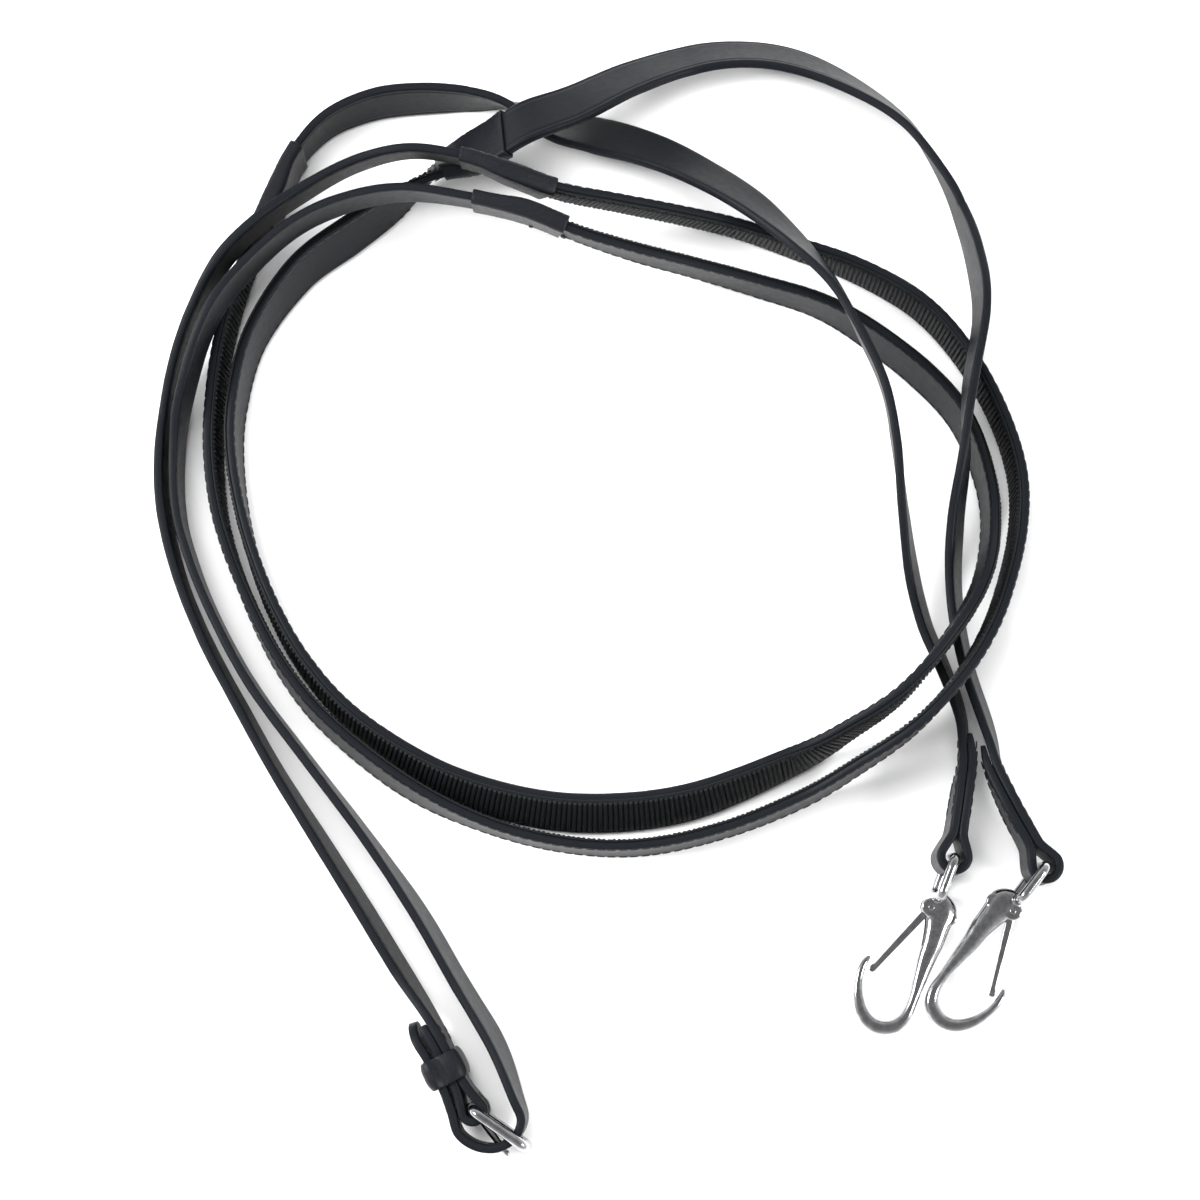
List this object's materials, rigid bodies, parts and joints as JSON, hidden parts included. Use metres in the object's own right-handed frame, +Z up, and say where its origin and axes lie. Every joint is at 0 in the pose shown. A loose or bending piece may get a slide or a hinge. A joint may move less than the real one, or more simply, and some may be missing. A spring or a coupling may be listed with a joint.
{
  "type": "horse riding reins",
  "caption": "Black leather riding reins with rubber-lined grips, a buckle joining the halves and a sprung hook on each bit end, laid in a loose coil.",
  "frame": {"origin": "on the floor under the middle of the coil's bounding box", "axes": "+Z up from the floor; +Y from the buckle towards the top of the coil, along the longest extent; +X towards the side with the hooks"},
  "size_m": [0.2656, 0.3394, 0.0397],
  "materials": {
    "strap_leather": "satin",
    "sleeve_leather": "satin",
    "grip_rubber": "matte",
    "thread": "matte",
    "bright_steel": "polished"
  },
  "bodies": {
    "reins": {"right_bit_strap": "strap_leather", "right_hook_stitching": "thread", "right_front_sleeve": "sleeve_leather", "right_grip_strap": "strap_leather", "right_grip_rubber": "grip_rubber", "right_grip_stitching": "thread", "right_rear_sleeve": "sleeve_leather", "right_hand_strap": "strap_leather", "left_bit_strap": "strap_leather", "left_hook_stitching": "thread", "left_front_sleeve": "sleeve_leather", "left_grip_strap": "strap_leather", "left_grip_rubber": "grip_rubber", "left_grip_stitching": "thread", "left_rear_sleeve": "sleeve_leather", "left_hand_strap": "strap_leather", "buckle_stitching": "thread", "buckle_keeper": "sleeve_leather"},
    "right_hook": {"right_hook_body": "bright_steel", "right_hook_pin": "bright_steel", "right_hook_spring": "bright_steel"},
    "right_gate": {"right_hook_gate": "bright_steel"},
    "left_hook": {"left_hook_body": "bright_steel", "left_hook_pin": "bright_steel", "left_hook_spring": "bright_steel"},
    "left_gate": {"left_hook_gate": "bright_steel"},
    "buckle_frame": {"buckle_frame": "bright_steel"},
    "buckle_prong": {"buckle_prong": "bright_steel"}
  },
  "joints": [
    {"name": "right_hook_swing", "type": "hinge", "parent": "reins", "child": "right_hook", "pos_m": [0.12783, -0.08765, 0.013], "axis": [-0.0429, -0.055, 0.9976], "range_deg": [0, 60]},
    {"name": "left_hook_swing", "type": "hinge", "parent": "reins", "child": "left_hook", "pos_m": [0.10172, -0.0851, 0.01301], "axis": [-0.025, -0.0651, 0.9976], "range_deg": [-60, 0]},
    {"name": "right_gate_hinge", "type": "hinge", "parent": "right_hook", "child": "right_gate", "pos_m": [0.11894, -0.10033, 0.01192], "axis": [0.0429, 0.055, -0.9976], "range_deg": [0, 20], "stiffness_Nm_per_rad": 0.02, "springref_deg": -20.05},
    {"name": "left_gate_hinge", "type": "hinge", "parent": "left_hook", "child": "left_gate", "pos_m": [0.09543, -0.09924, 0.01193], "axis": [-0.025, -0.0651, 0.9976], "range_deg": [0, 20], "stiffness_Nm_per_rad": 0.02, "springref_deg": -20.05},
    {"name": "buckle_frame_swing", "type": "hinge", "parent": "reins", "child": "buckle_frame", "pos_m": [-0.03596, -0.15658, 0.01144], "axis": [0, 0, 1], "range_deg": [-8, 25]},
    {"name": "buckle_prong_swing", "type": "hinge", "parent": "reins", "child": "buckle_prong", "pos_m": [-0.03596, -0.15658, 0.01144], "axis": [0, 0, 1], "range_deg": [-4, 4]}
  ]
}
